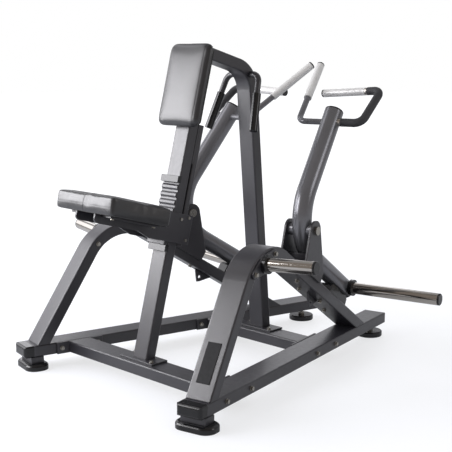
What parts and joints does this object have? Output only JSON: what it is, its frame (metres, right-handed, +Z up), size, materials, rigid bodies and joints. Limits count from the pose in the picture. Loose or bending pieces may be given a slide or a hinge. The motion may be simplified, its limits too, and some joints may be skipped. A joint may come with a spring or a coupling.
{
  "type": "seated row machine",
  "caption": "Plate-loaded seated row machine with a chest pad, height-adjustable seat, splayed floor frame and independent swing arms with weight pegs.",
  "frame": {"origin": "on the floor, under the middle of the machine's length and width", "axes": "+X from the seat towards the handles, +Y to the user's left, +Z up"},
  "size_m": [1.5419, 1.4126, 1.3176],
  "materials": {
    "frame_paint": "satin charcoal powder coat",
    "arm_paint": "satin metallic grey powder coat",
    "chrome": "polished chrome plate",
    "grip_metal": "fine satin",
    "zinc_steel": "zinc plate",
    "black_plastic": "moulded gloss",
    "black_rubber": "moulded matt",
    "foam": "closed-cell foam sleeve",
    "pad_leather": "grained upholstery",
    "board": "painted board",
    "nylon": "machined",
    "bronze": "sintered"
  },
  "bodies": {
    "frame": {"right_rail": "frame_paint", "left_rail": "frame_paint", "rail_caps": "black_plastic", "front_beam": "frame_paint", "rear_beam": "frame_paint", "beam_flanges": "frame_paint", "right_arch": "frame_paint", "left_arch": "frame_paint", "name_plate": "black_plastic", "lug_plates": "frame_paint", "front_foot_stubs": "frame_paint", "front_feet": "black_plastic", "rear_feet": "black_plastic", "rear_foot_studs": "zinc_steel", "seat_post": "frame_paint", "post_cap": "black_plastic", "guide_bar": "frame_paint", "rear_post": "frame_paint", "post_bases": "frame_paint", "seat_rack": "frame_paint", "rack_stops": "black_plastic", "chest_board": "board", "chest_cushion": "pad_leather", "brace_handles": "frame_paint", "brace_grips": "black_rubber", "pivot_plates": "frame_paint", "pivot_pins": "zinc_steel", "bump_stops": "black_rubber", "storage_plates": "frame_paint", "storage_collars": "black_plastic", "storage_pegs": "chrome", "storage_caps": "black_plastic", "frame_bolts": "zinc_steel"},
    "seat": {"seat_side_plates": "frame_paint", "seat_back_plate": "frame_paint", "seat_latch_bar": "frame_paint", "seat_glides": "nylon", "seat_board": "board", "seat_cushion": "pad_leather", "seat_bolts": "zinc_steel"},
    "right_swing_arm": {"right_arm": "arm_paint", "right_bushes": "bronze", "right_load_collar": "black_plastic", "right_load_peg": "chrome", "right_inner_handle": "arm_paint", "right_inner_grip": "grip_metal", "right_outer_handle": "chrome", "right_outer_sleeve": "foam", "right_outer_grip": "grip_metal", "right_arm_caps": "black_plastic"},
    "left_swing_arm": {"left_arm": "arm_paint", "left_bushes": "bronze", "left_load_collar": "black_plastic", "left_load_peg": "chrome", "left_inner_handle": "arm_paint", "left_inner_grip": "grip_metal", "left_outer_handle": "chrome", "left_outer_sleeve": "foam", "left_outer_grip": "grip_metal", "left_arm_caps": "black_plastic"}
  },
  "joints": [
    {"name": "seat_slide", "type": "slide", "parent": "frame", "child": "seat", "axis": [0.2588, 0, 0.9659], "range_m": [0, 0.18]},
    {"name": "right_arm_hinge", "type": "hinge", "parent": "frame", "child": "right_swing_arm", "pos_m": [0.05418, -0.34257, 0.5895], "axis": [0.2062, -0.9785, 0], "range_deg": [0, 40]},
    {"name": "left_arm_hinge", "type": "hinge", "parent": "frame", "child": "left_swing_arm", "pos_m": [0.05418, 0.34257, 0.5895], "axis": [-0.2062, -0.9785, 0], "range_deg": [0, 40]}
  ]
}
